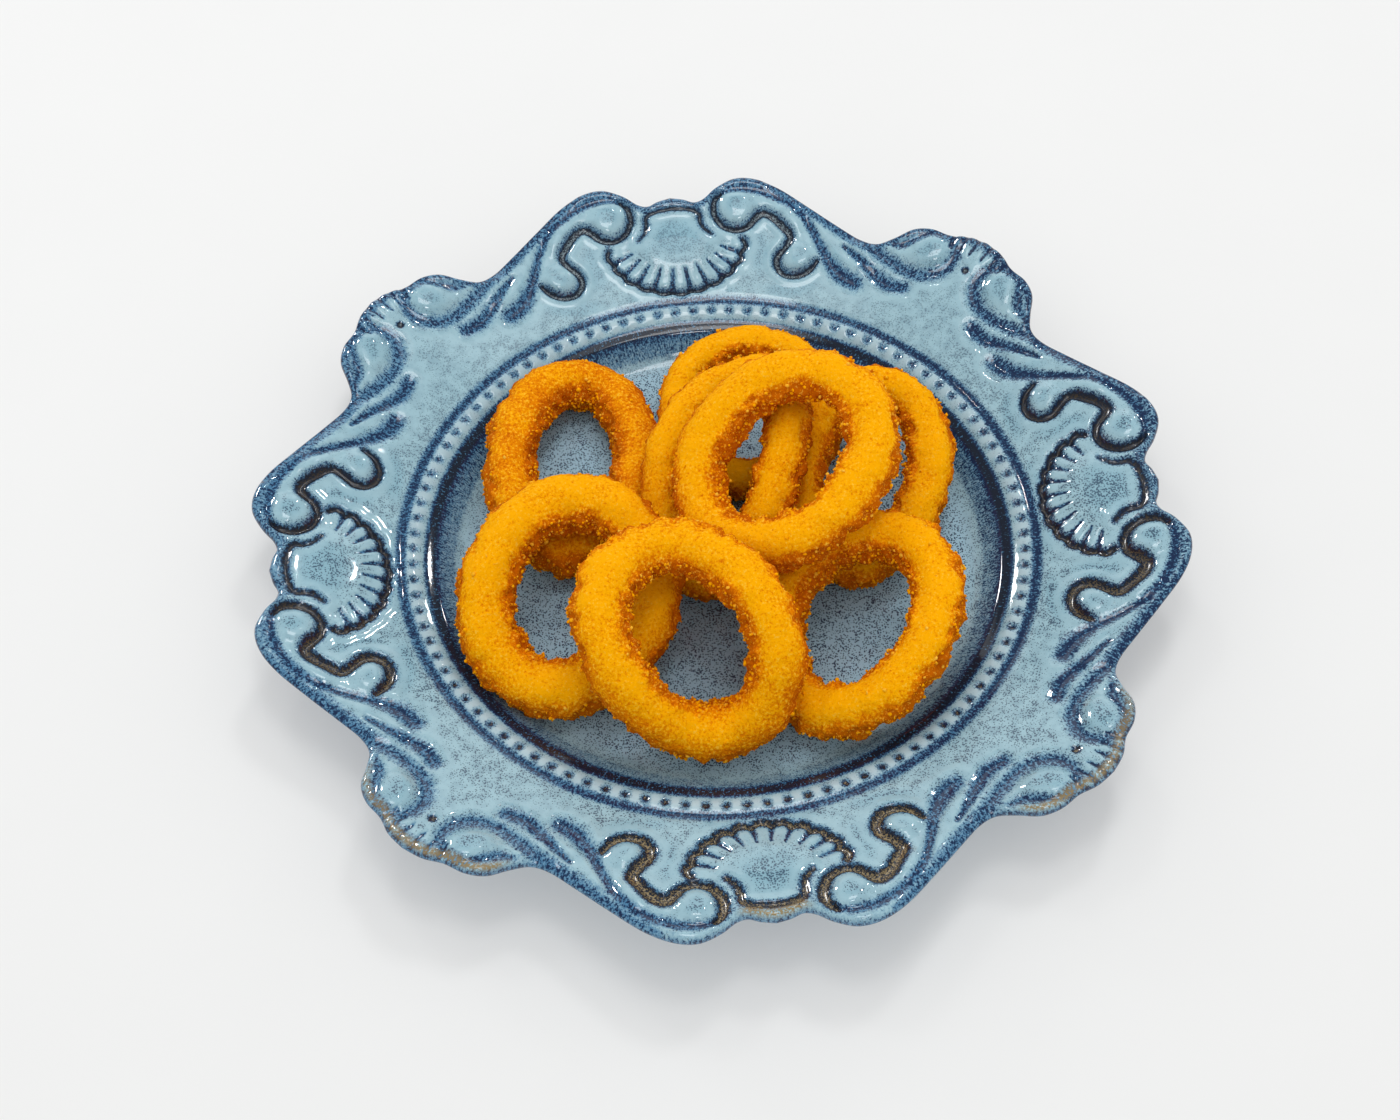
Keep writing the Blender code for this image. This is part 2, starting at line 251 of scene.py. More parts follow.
# Its colour's noises, in turns per millimetre, and how much darker one ring's whole crust is
# painted, as painted shade
TOAST_SCALE = 0.16
CRUMB_SCALE = 1.2
FINE_SCALE = 4.2
DARKER_NODE = "ring_back_left"
DARKER_SHADE = 0.42

# Loose crumbs: how many on each ring, and their least and greatest radius in millimetres
GRAINS_PER_RING = 1230
GRAIN_RADII = (0.28, 0.76)
FLECKS_PER_RING = 3050
FLECK_RADII = (0.14, 0.28)
CRUMB_TINTS = (-0.85, 0.5)
CRUMB_REST = 0.25


def smoothstep(low, high, value):
    """0 at low, 1 at high, with an easy start and end. Low may be the larger."""
    share = np.clip((value - low) / (high - low), 0.0, 1.0)
    return share * share * (3.0 - 2.0 * share)


def smooth_path(points, steps=8):
    """A Catmull-Rom curve through the points, with so many steps to each stretch."""
    points = np.array(points, float)
    ends = np.vstack([points[:1], points, points[-1:]])
    share = (np.arange(steps) / steps)[:, None]
    rows = []
    for a, b, c, d in zip(ends, ends[1:], ends[2:], ends[3:]):
        rows.append(0.5 * (2 * b + (c - a) * share + (2 * a - 5 * b + 4 * c - d) * share ** 2
                           + (3 * b - a - 3 * c + d) * share ** 3))
    return np.vstack(rows + [points[-1:]])


def fold(x, y):
    """Across and out, in the drawn eighth of the rim, of places on the plate."""
    radius = np.hypot(x, y)
    sector = 2 * math.pi / SHELLS
    turned = np.mod(np.arctan2(y, x), sector)
    turned = np.minimum(turned, sector - turned)
    return radius * np.sin(turned), radius * np.cos(turned)


def near_path(path, across, out):
    """How far each place is from a path, and the path's half width there."""
    gap = np.full(across.shape, 1e6)
    half = np.zeros(across.shape)
    for start, end in zip(path, path[1:]):
        step = end - start
        share = ((across - start[0]) * step[0] + (out - start[1]) * step[1])
        share = np.clip(share / (step[0] ** 2 + step[1] ** 2), 0.0, 1.0)
        here = np.hypot(across - start[0] - share * step[0], out - start[1] - share * step[1])
        closer = here < gap
        gap = np.where(closer, here, gap)
        half = np.where(closer, start[2] + share * step[2], half)
    return gap, half


def straight(start, end, halves):
    """A path of one straight stretch, with its half width at each end."""
    return np.array([(*start, halves[0]), (*end, halves[1])], float)


def shell_edge():
    """The scalloped front edge of a shell and the cusps between its scallops."""
    turns = np.linspace(-SHELL_SWEEP, SHELL_SWEEP, SHELL_SCALLOPS * 10 + 1)
    lobe = np.abs(np.sin((turns / SHELL_SWEEP + 1.0) / 2 * SHELL_SCALLOPS * math.pi))
    bulge = 1.0 + SCALLOP_BULGE * lobe
    edge = np.stack([SHELL_HALF_WIDTH * bulge * np.sin(turns),
                     SHELL_CENTRE - SHELL_REACH * bulge * np.cos(turns),
                     np.full(len(turns), SHELL_EDGE_HALF)], axis=1)
    return edge, edge[10:-10:10]


def crisp_lines():
    """Every crisply carved line as a path and its depth."""
    edge, cusps = shell_edge()
    lines = [(smooth_path(SCROLL), SCROLL_DEPTH), (smooth_path(HINGE), HINGE_DEPTH),
             (edge, SHELL_EDGE_DEPTH)]
    ribs = []
    for cusp in cusps:
        towards = np.array(RIB_FOCUS) - cusp[:2]
        towards /= np.linalg.norm(towards)
        ribs.append((straight(cusp[:2], cusp[:2] + towards * RIB_LENGTH, RIB_HALVES),
                     RIB_DEPTH))
    for turn in FAN_TURNS:
        towards = np.array([math.sin(math.pi / 4 - turn), math.cos(math.pi / 4 - turn)])
        start, end = (np.array(FAN_CENTRE) + towards * reach for reach in FAN_SPAN)
        ribs.append((straight(start, end, FAN_HALVES), FAN_DEPTH))
    return lines, ribs


class Relief:
    """The carving of the rim: its height, and the marks that the glaze follows.

    edge_gap is how far a place is from the brown of a cut, pool is how strongly dark glaze
    gathers there, and crest is 1 on the paler ridge beside a cut.
    """

    def __init__(self, height, depth_scale):
        self.height = height
        self.depth_scale = depth_scale
        self.edge_gap = np.full(height.shape, FAR_GAP)
        self.pool = np.zeros(height.shape)
        self.crest = np.zeros(height.shape)

    def cut(self, depth, share):
        self.height -= depth * self.depth_scale * share

    def stain(self, gap):
        self.edge_gap = np.minimum(self.edge_gap, gap)

    def gather(self, strength):
        self.pool = np.maximum(self.pool, strength)

    def lighten(self, strength):
        self.crest = np.maximum(self.crest, strength)


def rim_swellings(across, out):
    """How far the broad swellings under the ornament raise the rim."""
    height = np.zeros(across.shape)
    for middle, centre, half_width, half_length, swell in SWELLINGS.values():
        away = ((across - middle) / half_width) ** 2 + ((out - centre) / half_length) ** 2
        away = np.clip(away, 0.0, 1.0)
        height += swell * (1.0 - away) ** 2 * (1.0 + 2.0 * away)
    return height


def speckled_hollows(across, out):
    """1 in the hollows between the ornament, and 0 away from them."""
    hollow = np.zeros(across.shape)
    for middle, centre, half_width, half_length in SPECKLED:
        away = np.hypot((across - middle) / half_width, (out - centre) / half_length)
        hollow = np.maximum(hollow, smoothstep(1.15, 0.35, away))
    return hollow


def carve_ornament(relief, across, out, side):
    """The crisp cuts with a low crest beside them, the ribs, the soft hollows and the pits."""
    stained = 0.55 + 0.45 * smoothstep(0.05, 0.85, side)
    lines, ribs = crisp_lines()
    for path, depth in lines:
        gap, half = near_path(path, across, out)
        relief.cut(depth, 1.0 - smoothstep(*CRISP_SLOPE, gap / half))
        relief.stain(gap - half * stained)
    relief.height += CREST_HEIGHT * np.exp(-((relief.edge_gap - CREST_GAP) / CREST_HALF) ** 2)
    relief.gather(EDGE_POOL * smoothstep(1.6, 0.2, relief.edge_gap))
    relief.lighten(np.exp(-((relief.edge_gap - 2.4) / CREST_HALF) ** 2))

    for path, depth in ribs:
        gap, half = near_path(path, across, out)
        share = 1.0 - smoothstep(*RIB_SLOPE, gap / half)
        relief.cut(depth, share)
        relief.gather(RIB_POOL * share)
        relief.lighten(smoothstep(2.6, 1.8, gap / half))
    for paths, depth, strength in ((LEAVES, LEAF_DEPTH, LEAF_POOL), (BANDS, BAND_DEPTH, BAND_POOL)):
        for points in paths:
            gap, half = near_path(smooth_path(points), across, out)
            share = 1.0 - smoothstep(*SOFT_SLOPE, gap / half)
            relief.cut(depth, share)
            relief.gather(strength * share)
            relief.lighten(0.8 * np.exp(-((gap - 1.95 * half) / CREST_HALF) ** 2))

    gap = np.hypot(across - PIT_PLACE[0], out - PIT_PLACE[1])
    pit = 1.0 - smoothstep(*PIT_SLOPE, gap / PIT_HALF)
    relief.cut(PIT_DEPTH, pit)
    relief.gather(pit)
    relief.stain(gap - 0.6 * PIT_HALF)


def carve_beads(relief, radius, angle, side):
    """The bead line between its two dark rings. Returns the pale pads between its dimples."""
    ridge = np.clip(1.0 - ((radius - BEAD_RADIUS) / BEAD_RIDGE_HALF) ** 2, 0.0, 1.0)
    along = (np.mod(angle * BEADS / (2 * math.pi), 1.0) - 0.5) * 2 * math.pi * BEAD_RADIUS / BEADS
    gap = np.hypot(along, radius - BEAD_RADIUS)
    dimple = 1.0 - smoothstep(*DIMPLE_SLOPE, gap / BEAD_HALF)
    relief.height += BEAD_RIDGE * ridge
    relief.cut(BEAD_DEPTH, dimple)
    relief.gather(np.maximum(DIMPLE_POOL * dimple, HALO_POOL * smoothstep(2.3, 1.3, gap)))
    relief.stain(gap - 0.5 * BEAD_HALF + 1.1 * (1.0 - side))
    for middle, half, depth, strength in (OUTER_LINE, INNER_LINE):
        line = 1.0 - smoothstep(*RIB_SLOPE, np.abs(radius - middle) / half)
        relief.cut(depth, line)
        relief.gather(strength * line)
    return ridge ** 0.5 * smoothstep(0.8, 2.2, np.abs(along)) * (0.7 + 0.3 * side)


def carve(across, out, radius, angle, inset, depth_scale):
    """Height to add to the rim's cone, and the marks that the glaze follows.

    The side mark is 0 at the back of the plate and 1 at its front.
    """
    side = 0.5 - 0.5 * np.sin(angle)
    along = 2.0 * (radius - SAG_SPAN[0]) / (SAG_SPAN[1] - SAG_SPAN[0]) - 1.0
    sag = RIM_SAG * (1.0 - np.clip(along, -1.0, 1.0) ** 2)
    relief = Relief(rim_swellings(across, out) - sag, depth_scale)
    carve_ornament(relief, across, out, side)
    pad = carve_beads(relief, radius, angle, side)

    # Dark glaze runs down to the lip; its crest is paler towards the front, a painted sheen
    lip = smoothstep(5.6, 2.4, inset) * (1.0 - 0.75 * side ** 2 * smoothstep(3.8, 2.2, inset))
    relief.gather(LIP_POOL * lip)
    marks = {"edge_gap": relief.edge_gap, "pool": relief.pool, "pad": pad, "side": side,
             "crest": np.clip(relief.crest, 0.0, 1.0), "hollow": speckled_hollows(across, out)}
    return relief.height, marks


def finished_mesh(name, bm):
    """A mesh of what was made in bm, which is freed."""
    mesh = bpy.data.meshes.new(name)
    bm.to_mesh(mesh)
    bm.free()
    return mesh


def spin_section(bm, segments, section):
    """Turn a section (radius, height) in mm round the plate's axis and add it to bm.

    A short stretch is spun first and then doubled until it goes all the way round.
    """
    turned = bmesh.new()
    verts = [turned.verts.new((radius * MM, 0.0, height * MM)) for radius, height in section]
    edges = [turned.edges.new(pair) for pair in zip(verts, verts[1:])]
    stretch = 2 * math.pi / 2 ** DOUBLINGS
    bmesh.ops.spin(turned, geom=verts + edges, cent=(0, 0, 0), axis=(0, 0, 1),
                   dvec=(0, 0, 0), angle=stretch, steps=segments // 2 ** DOUBLINGS)
    for doubling in range(DOUBLINGS):
        parts = turned.verts[:] + turned.edges[:] + turned.faces[:]
        copied = bmesh.ops.duplicate(turned, geom=parts)
        fresh = [item for item in copied["geom"] if isinstance(item, bmesh.types.BMVert)]
        bmesh.ops.rotate(turned, verts=fresh, cent=(0, 0, 0),
                         matrix=Matrix.Rotation(stretch * 2 ** doubling, 3, "Z"))
    bmesh.ops.remove_doubles(turned, verts=turned.verts[:], dist=1e-6)
    mesh = finished_mesh("turned", turned)
    bm.from_mesh(mesh)
    bpy.data.meshes.remove(mesh)


def cone(radius):
    """Height of the plain rim at a radius."""
    return WELL_EDGE_HEIGHT + RIM_SLOPE * (radius - WELL_EDGE_RADIUS)


def rim_section():
    """The rim from the well's edge over the lip to the underside, on a round plate."""
    radii = [*np.linspace(BEAD_START, RIM_START, BEAD_ROWS),
             *np.linspace(RIM_START, NOMINAL_REACH - LIP_INSET, RIM_ROWS + 1)[1:]]
    lip = [(NOMINAL_REACH - inset, float(cone(NOMINAL_REACH - inset)) - drop)
           for inset, drop in LIP_SECTION]
    return EDGE_SECTION + [(radius, float(cone(radius))) for radius in radii] + lip


def open_loop(bm, radius, height):
    """The open edges at one end of a spun section."""
    return [edge for edge in bm.edges if edge.is_boundary and all(
        abs(vert.co.xy.length - radius * MM) < 0.05 * MM
        and abs(vert.co.z - height * MM) < 0.05 * MM for vert in edge.verts)]


def stoneware_blank():
    """The plate as if its outline were round and its rim plain, as one closed mesh."""
    bm = bmesh.new()
    rim = rim_section()
    spin_section(bm, RIM_SEGMENTS, rim)
    spin_section(bm, WELL_SEGMENTS, WELL_SECTION)
    spin_section(bm, WELL_SEGMENTS, UNDER_SECTION)
    for first, second in ((WELL_SECTION[-1], rim[0]), (rim[-1], UNDER_SECTION[0])):
        bmesh.ops.bridge_loops(bm, edges=open_loop(bm, *first) + open_loop(bm, *second))
    for end in (WELL_SECTION[0], UNDER_SECTION[-1]):
        bmesh.ops.holes_fill(bm, edges=open_loop(bm, *end), sides=0)
    bmesh.ops.recalc_face_normals(bm, faces=bm.faces[:])
    return bm


def outline_reach(angle):
    """How far the outline reaches in each direction from the plate's centre."""
    table = smooth_path(OUTLINE, 12)
    turns = np.arctan2(table[:, 0], table[:, 1])
    across, out = fold(np.cos(angle), np.sin(angle))
    return np.interp(np.arctan2(across, out), turns, np.hypot(table[:, 0], table[:, 1]))


def read_points(mesh):
    """The mesh's vertices as one array."""
    points = np.empty(len(mesh.vertices) * 3)
    mesh.vertices.foreach_get("co", points)
    return points.reshape(-1, 3)


def write_points(mesh, points):
    mesh.vertices.foreach_set("co", points.ravel())
    mesh.update()


def fit_outline(points):
    """Stretch a round blank's points, in millimetres, to the plate's scalloped outline.

    Returns how far each point now is from the axis and was before, how far it is below the
    rim's cone, how far in from the edge of the rim, and its angle.
    """
    radius, angle = np.hypot(points[:, 0], points[:, 1]), np.arctan2(points[:, 1], points[:, 0])
    drop = cone(radius) - points[:, 2]
    stretch = np.clip((radius - RIM_START) / (NOMINAL_REACH - LIP_INSET - RIM_START), 0.0, 1.0)
    under = radius < RIM_START + ROUND_UNDER
    stretch = np.where(under & (drop > UNDER_DROP), 0.0, stretch)
    inset = np.where(drop < TOP_DROP, NOMINAL_REACH - radius, 0.0)
    inset = np.where(radius > RIM_START, inset, FAR_INSET)
    wide = radius + stretch * (outline_reach(angle) - NOMINAL_REACH)
    points[:, 0] *= wide / radius
    points[:, 1] *= wide / radius
    return wide, radius, drop, inset, angle


def finish_marks(marks, on_top, across, wide, radius, drop, inset):
    """Take the rim's marks off its underside, and add those of the well and the edge."""
    side, pool = marks["side"], marks["pool"]
    wall = WALL_POOL * smoothstep(68.5, 76.5, wide) * (1.0 - 0.4 * side ** 2)
    wall = wall + (1.0 - wall) * smoothstep(78.0, 80.8, wide)
    wall = wall * (wide < 84.0) * (drop < UNDER_DROP)
    pool = np.where(wide < 81.0, np.maximum(wall, pool * (wide > 80.0)), pool)
    face = smoothstep(0.6, 1.8, drop) * (radius > OUTER_RIM)
    marks["pool"] = pool + (FACE_POOL - 0.4 * side - pool) * face
    marks["edge_gap"] = np.where(on_top > 0.1, marks["edge_gap"], FAR_GAP)
    for name in ("pad", "crest", "hollow"):
        marks[name] *= on_top
    marks["floor"] = smoothstep(76.0, 69.0, wide)
    gold = np.maximum(smoothstep(*NOTCH_EDGES, across), smoothstep(*FAN_EDGES, across))
    gold = gold * smoothstep(4.2, 2.2, inset) * (1.0 - smoothstep(0.5, 1.4, drop))
    marks["thin"] = gold * smoothstep(0.55, 0.95, side) * (radius > OUTER_RIM)


def set_mark(mesh, name, values):
    """Store one number for each vertex under a name that a material can read."""
    mark = mesh.attributes.new(name, "FLOAT", "POINT")
    mark.data.foreach_set("value", np.asarray(values, np.float32))


def new_object(name, data):
    """A new object in the scene."""
    thing = bpy.data.objects.new(name, data)
    bpy.context.scene.collection.objects.link(thing)
    return thing


def new_piece(name, mesh, material):
    """A finished piece on the object's one body, with its material slot."""
    piece = new_object(name, mesh)
    mesh.materials.append(material)
    mesh.shade_smooth()
    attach(piece, BODY)
    return piece


class Graph:
    """Adds shader nodes to a tree and joins them."""

    def __init__(self, tree):
        self.tree = tree

    def add(self, kind, values=(), **settings):
        node = self.tree.nodes.new(kind)
        for name, value in settings.items():
            setattr(node, name, value)
        for key, value in dict(values).items():
            self.feed(value, node.inputs[key])
        return node

    def feed(self, value, socket):
        if isinstance(value, bpy.types.NodeSocket):
            self.tree.links.new(value, socket)
        else:
            socket.default_value = value

    def math(self, operation, first, second=0.0, clamp=False):
        node = self.add("ShaderNodeMath", {0: first, 1: second}, operation=operation,
                        use_clamp=clamp)
        return node.outputs[0]

    def ramp(self, value, low, high, start=0.0, end=1.0):
        node = self.add("ShaderNodeMapRange", {0: value, 1: low, 2: high, 3: start, 4: end},
                        interpolation_type="SMOOTHSTEP")
        return node.outputs[0]

    def mix(self, share, first, second, blend="MIX"):
        node = self.add("ShaderNodeMix", {0: share, 6: first, 7: second}, data_type="RGBA",
                        blend_type=blend)
        return node.outputs[2]

    def swing(self, value, reach):
        """A noise round 0.5 turned into one round 0, with so much reach."""
        return self.math("MULTIPLY", self.math("SUBTRACT", value, 0.5), reach)

    def vector(self, operation, values, output=0):
        return self.add("ShaderNodeVectorMath", values, operation=operation).outputs[output]

    def mark(self, name):
        return self.add("ShaderNodeAttribute", attribute_name=name).outputs["Fac"]

    def noise(self, place, scale, detail=2.0, roughness=0.5):
        node = self.add("ShaderNodeTexNoise", {"Vector": place, "Scale": scale,
                                               "Detail": detail, "Roughness": roughness})
        return node.outputs["Fac"]

    def millimetres(self):
        """The place on the piece, in millimetres."""
        place = self.add("ShaderNodeTexCoord").outputs["Object"]
        return self.vector("SCALE", {0: place, "Scale": 1.0 / MM})


def new_material(name, **sockets):
    """A material with its Principled BSDF set where a value is the same all over."""
    material = bpy.data.materials.new(name)
    material.use_nodes = True
    shader = material.node_tree.nodes["Principled BSDF"]
    for key, value in sockets.items():
        shader.inputs[key.replace("_", " ")].default_value = value
    return material, shader, Graph(material.node_tree)


def streak_place(graph, split):
    """Places for a noise whose features run down the rim, towards the well."""
    flat = graph.add("ShaderNodeCombineXYZ", {0: split.outputs[0], 1: split.outputs[1]}).outputs[0]
    reach = graph.math("MULTIPLY", graph.vector("LENGTH", {0: flat}, "Value"), STREAK_STRETCH)
    ray = graph.vector("NORMALIZE", {0: flat})
    around = graph.vector("SCALE", {0: ray, "Scale": STREAK_RADIUS})
    outward = graph.add("ShaderNodeCombineXYZ", {2: reach}).outputs[0]
    return graph.vector("ADD", {0: around, 1: outward})


def glaze_dots(graph, place, split, marks, cloud):
    """Separate navy dots on the open ground, in soft patches."""
    patch = graph.noise(place, PATCH_SCALE, 2.0, 0.5)
    dots = graph.add("ShaderNodeTexVoronoi", {"Vector": place, "Scale": DOT_SCALE})
    dots = graph.math("ADD", dots.outputs["Distance"], graph.swing(cloud, 0.6))
    ground = graph.ramp(patch, 0.36, 0.60, 0.28, 0.39)
    for name, most in (("hollow", 0.46), ("floor", 0.40)):
        ground = graph.math("MAXIMUM", ground, graph.math("MULTIPLY", marks[name], most))
    bare = graph.math("MAXIMUM", marks["pad"], graph.math("MULTIPLY", marks["crest"], 0.85))
    ground = graph.math("MULTIPLY", ground, graph.math("SUBTRACT", 1.0, bare))
    ground = graph.math("ADD", ground, graph.ramp(split.outputs[0], *EAST_SPAN, 0.0, 0.06))
    dotted = graph.ramp(graph.math("SUBTRACT", ground, dots), -0.05, 0.07, 0.0, 0.92)
    # The dots are fainter towards the back of the rim, a painted sheen; on the well's floor they
    # keep full strength.
    strength = graph.math("MAXIMUM", marks["floor"],
                          graph.ramp(marks["side"], 0.05, 0.55, 0.45, 0.82))
    return graph.math("MULTIPLY", dotted, strength)


def glaze_pools(graph, split, marks, grain):
    """Streaks that close up where the glaze pools."""
    limit = graph.math("SUBTRACT", graph.ramp(split.outputs[0], *EAST_SPAN, 0.67, 0.63),
                       graph.math("MULTIPLY", marks["pool"], 0.28))
    pooled = graph.ramp(graph.math("SUBTRACT", grain, limit), -0.03, 0.06)
    return graph.math("MULTIPLY", pooled, graph.ramp(marks["pool"], 0.04, 0.2))


def glaze_ground(graph, looks, marks, cloud, grain):
    """The pale glaze, whiter on crests and pads and a stronger blue where it gathers."""
    pale = graph.mix(graph.ramp(cloud, 0.35, 0.65), looks.ground_colour, looks.light_colour)
    for name, strength, colour in (
            ("floor", 0.9, looks.floor_colour), ("hollow", 0.5, looks.shade_colour),
            ("crest", 0.55, looks.light_colour), ("pad", 0.66, looks.pad_colour)):
        pale = graph.mix(graph.math("MULTIPLY", marks[name], strength), pale, colour)
    stream = graph.math("ADD", marks["pool"], graph.swing(grain, 1.6))
    return graph.mix(graph.ramp(stream, 0.08, 0.68), pale, looks.stream_colour)


def glaze_cuts(graph, looks, place, marks, speck, colour):
    """The brown cuts with their nearly black outline, on the glaze's colour.

    Returns the new colour and where the brown is.
    """
    ragged = graph.noise(place, RAGGED_SCALE, 3.0, 0.7)
    rough_edge = graph.math("ADD", graph.swing(ragged, 3.4), graph.swing(speck, 3.0))
    rough_edge = graph.math("MULTIPLY", rough_edge, graph.ramp(marks["side"], 0.1, 0.6, 0.4, 1.0))
    worn = graph.math("ADD", marks["edge_gap"], rough_edge)
    outline = graph.ramp(worn, 0.3, -0.15)
    core = graph.ramp(worn, -0.1, -0.55)
    brown = graph.mix(graph.ramp(marks["side"], 0.45, 0.95), looks.umber_colour, looks.brown_colour)
    brown = graph.mix(graph.ramp(marks["side"], 0.3, 0.05, 0.0, 0.35), brown, looks.floor_colour)
    flecked = graph.mix(graph.ramp(speck, 0.46, 0.56), looks.ink_colour, brown)
    colour = graph.mix(outline, colour, looks.ink_colour)
    return graph.mix(core, colour, flecked), core


def glaze_material(looks):
    """Pale blue reactive glaze, speckled, pooling dark in hollows and brown in the cuts."""
    material, shader, graph = new_material("blue_glaze", Metallic=0.0, IOR=1.52)
    place = graph.millimetres()
    split = graph.add("ShaderNodeSeparateXYZ", {0: place})
    marks = {name: graph.mark(name) for name in (
        "edge_gap", "pool", "pad", "crest", "hollow", "floor", "side", "thin")}
    speck = graph.noise(place, SPECK_SCALE, 2.0, 0.6)
    streak = graph.noise(streak_place(graph, split), STREAK_SCALE, 2.0, 0.6)
    cloud = graph.noise(place, CLOUD_SCALE, 3.0, 0.6)
    share = graph.ramp(marks["edge_gap"], 0.8, 3.0, 0.15, 0.55)
    grain = graph.add("ShaderNodeMix", {0: share, 2: speck, 3: streak}).outputs[0]

    dark = graph.math("MAXIMUM", glaze_dots(graph, place, split, marks, cloud),
                      glaze_pools(graph, split, marks, grain))
    deep = graph.mix(graph.ramp(marks["pool"], 0.82, 1.0), looks.pool_colour, looks.ink_colour)
    colour = graph.mix(dark, glaze_ground(graph, looks, marks, cloud, grain), deep)
    colour, core = glaze_cuts(graph, looks, place, marks, speck, colour)
    breaks = graph.math("MULTIPLY", marks["thin"], graph.ramp(grain, 0.40, 0.52))
    colour = graph.mix(breaks, colour, looks.brown_colour)
    graph.feed(colour, shader.inputs["Base Color"])

    graph.feed(graph.ramp(core, 0.0, 1.0, 0.05, 0.24), shader.inputs["Roughness"])
    bump = graph.add("ShaderNodeBump", {"Strength": 0.06, "Distance": 0.00012,
                                        "Height": graph.math("ADD", speck, cloud)})
    graph.feed(bump.outputs[0], shader.inputs["Normal"])
    return material


def crumb_group():
    """The colour and the fine grain of fried breadcrumb, for the crust and for loose crumbs, with
    painted shade between the grains and painted glints on the tallest.
    """
    tree = bpy.data.node_groups.new("Fried Crumb", "ShaderNodeTree")
    for way, colours, number in (("INPUT", ("Gold", "Toasted and shaded", "Burnt and shaded", "Light"), "Toast and shade"),
                                 ("OUTPUT", ("Color",), "Height")):
        for name in colours:
            tree.interface.new_socket(name, in_out=way, socket_type="NodeSocketColor")
        tree.interface.new_socket(number, in_out=way, socket_type="NodeSocketFloat")
    graph = Graph(tree)
    given = tree.nodes.new("NodeGroupInput")
    place = graph.millimetres()
    patch = graph.noise(place, TOAST_SCALE, 3.0, 0.55)
    grain = graph.noise(place, CRUMB_SCALE, 3.0, 0.72)
    fine = graph.noise(place, FINE_SCALE, 1.0, 0.5)
    gold, toasted_and_shaded, burnt_and_shaded, light, toast_and_shade = given.outputs[:5]
    # Toast in broad patches; lighter on the tops of the tall grains and darker between them, partly
    # crumb colour and partly painted shade.
    spots = graph.math("ADD", graph.swing(patch, 0.9), graph.swing(grain, -2.9))
    done = graph.math("ADD", toast_and_shade, spots, clamp=True)
    colour = graph.mix(graph.ramp(done, 0.0, 0.75), gold, toasted_and_shaded)
    colour = graph.mix(graph.ramp(done, 0.65, 1.25), colour, burnt_and_shaded)
    # The palest crumbs, with painted glints on the tallest grains and where the crust is least
    # toasted and least shaded.
    pale = graph.math("MAXIMUM", graph.ramp(grain, 0.57, 0.66, 0.0, 0.55),
                      graph.ramp(toast_and_shade, -0.3, -0.85, 0.0, 0.8))
    colour = graph.mix(pale, colour, light)
    result = tree.nodes.new("NodeGroupOutput")
    graph.feed(colour, result.inputs["Color"])
    graph.feed(graph.math("ADD", grain, graph.math("MULTIPLY", fine, 0.6)), result.inputs["Height"])
    return tree


def crumb_material(name, looks, tree, shade=0.0):
    """Breadcrumb with its own mark of toasting and painted shade; shade darkens the whole piece a
    little more, as painted shade.
    """
    material, shader, graph = new_material(name, Metallic=0.0, Roughness=0.7, IOR=1.45,
                                           Specular_IOR_Level=0.015)
    toast_and_shade = graph.math("ADD", graph.mark("toast_and_shade"), shade)
    group = graph.add("ShaderNodeGroup", {
        "Gold": looks.gold_colour, "Toasted and shaded": looks.toasted_and_shaded_colour,
        "Burnt and shaded": looks.burnt_and_shaded_colour, "Light": looks.pale_and_glint_colour, "Toast and shade": toast_and_shade},
        node_tree=tree)
    graph.feed(group.outputs["Color"], shader.inputs["Base Color"])
    bump = graph.add("ShaderNodeBump", {"Strength": 0.8, "Distance": 0.0003,
                                        "Height": group.outputs["Height"]})
    graph.feed(bump.outputs[0], shader.inputs["Normal"])
    return material


def ring_skin(node):
    """The ring's own solid, merged, squared up and subdivided to a fine even skin."""
    bm = bmesh.new()
    bm.from_mesh(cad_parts[node].data)
    bmesh.ops.remove_doubles(bm, verts=bm.verts[:], dist=1e-6)
    bmesh.ops.join_triangles(bm, faces=bm.faces[:], angle_face_threshold=math.pi,
                             angle_shape_threshold=math.pi)
    mesh = finished_mesh(node, bm)
    blank = new_object("blank", mesh)
    finer = blank.modifiers.new("finer", "SUBSURF")
    finer.levels = finer.render_levels = SUBDIVISIONS
    skin = bpy.data.meshes.new_from_object(
        blank.evaluated_get(bpy.context.evaluated_depsgraph_get()))
    bpy.data.objects.remove(blank, do_unlink=True)
    bpy.data.meshes.remove(mesh)
    return skin


def ring_sides(points):
    """How far each point faces the hole (-1 to 1) and up through the ring (-1 to 1)."""
    middle = points.mean(0)
    _, _, axes = np.linalg.svd(points[::16] - middle, full_matrices=False)
    up = axes[2] * np.sign(axes[2][2])
    local = points - middle
    rise = local @ up
    along, across = local @ axes[0], local @ axes[1]
    share = np.arctan2(across, along) / (2 * math.pi) + 0.5
    stretch = (share * STRETCHES).astype(int) % STRETCHES
    reach = np.hypot(along, across)
    inward, lift = np.zeros(len(points)), np.zeros(len(points))
    for index in range(STRETCHES):
        here = stretch == index
        low, high = reach[here].min(), reach[here].max()
        inward[here] = ((low + high) / 2 - reach[here]) / max((high - low) / 2, 1e-6)
        bottom, top = rise[here].min(), rise[here].max()
        lift[here] = (rise[here] - (bottom + top) / 2) / max((top - bottom) / 2, 1e-6)
    return inward, lift


def noise_at(points, size, seed):
    """Smooth noise from -1 to 1 with features of one size in metres, at each point."""
    shift = Vector((seed, 0.37 * seed, 0.61 * seed))
    return np.array([noise.noise(Vector(point) / size + shift) for point in points])


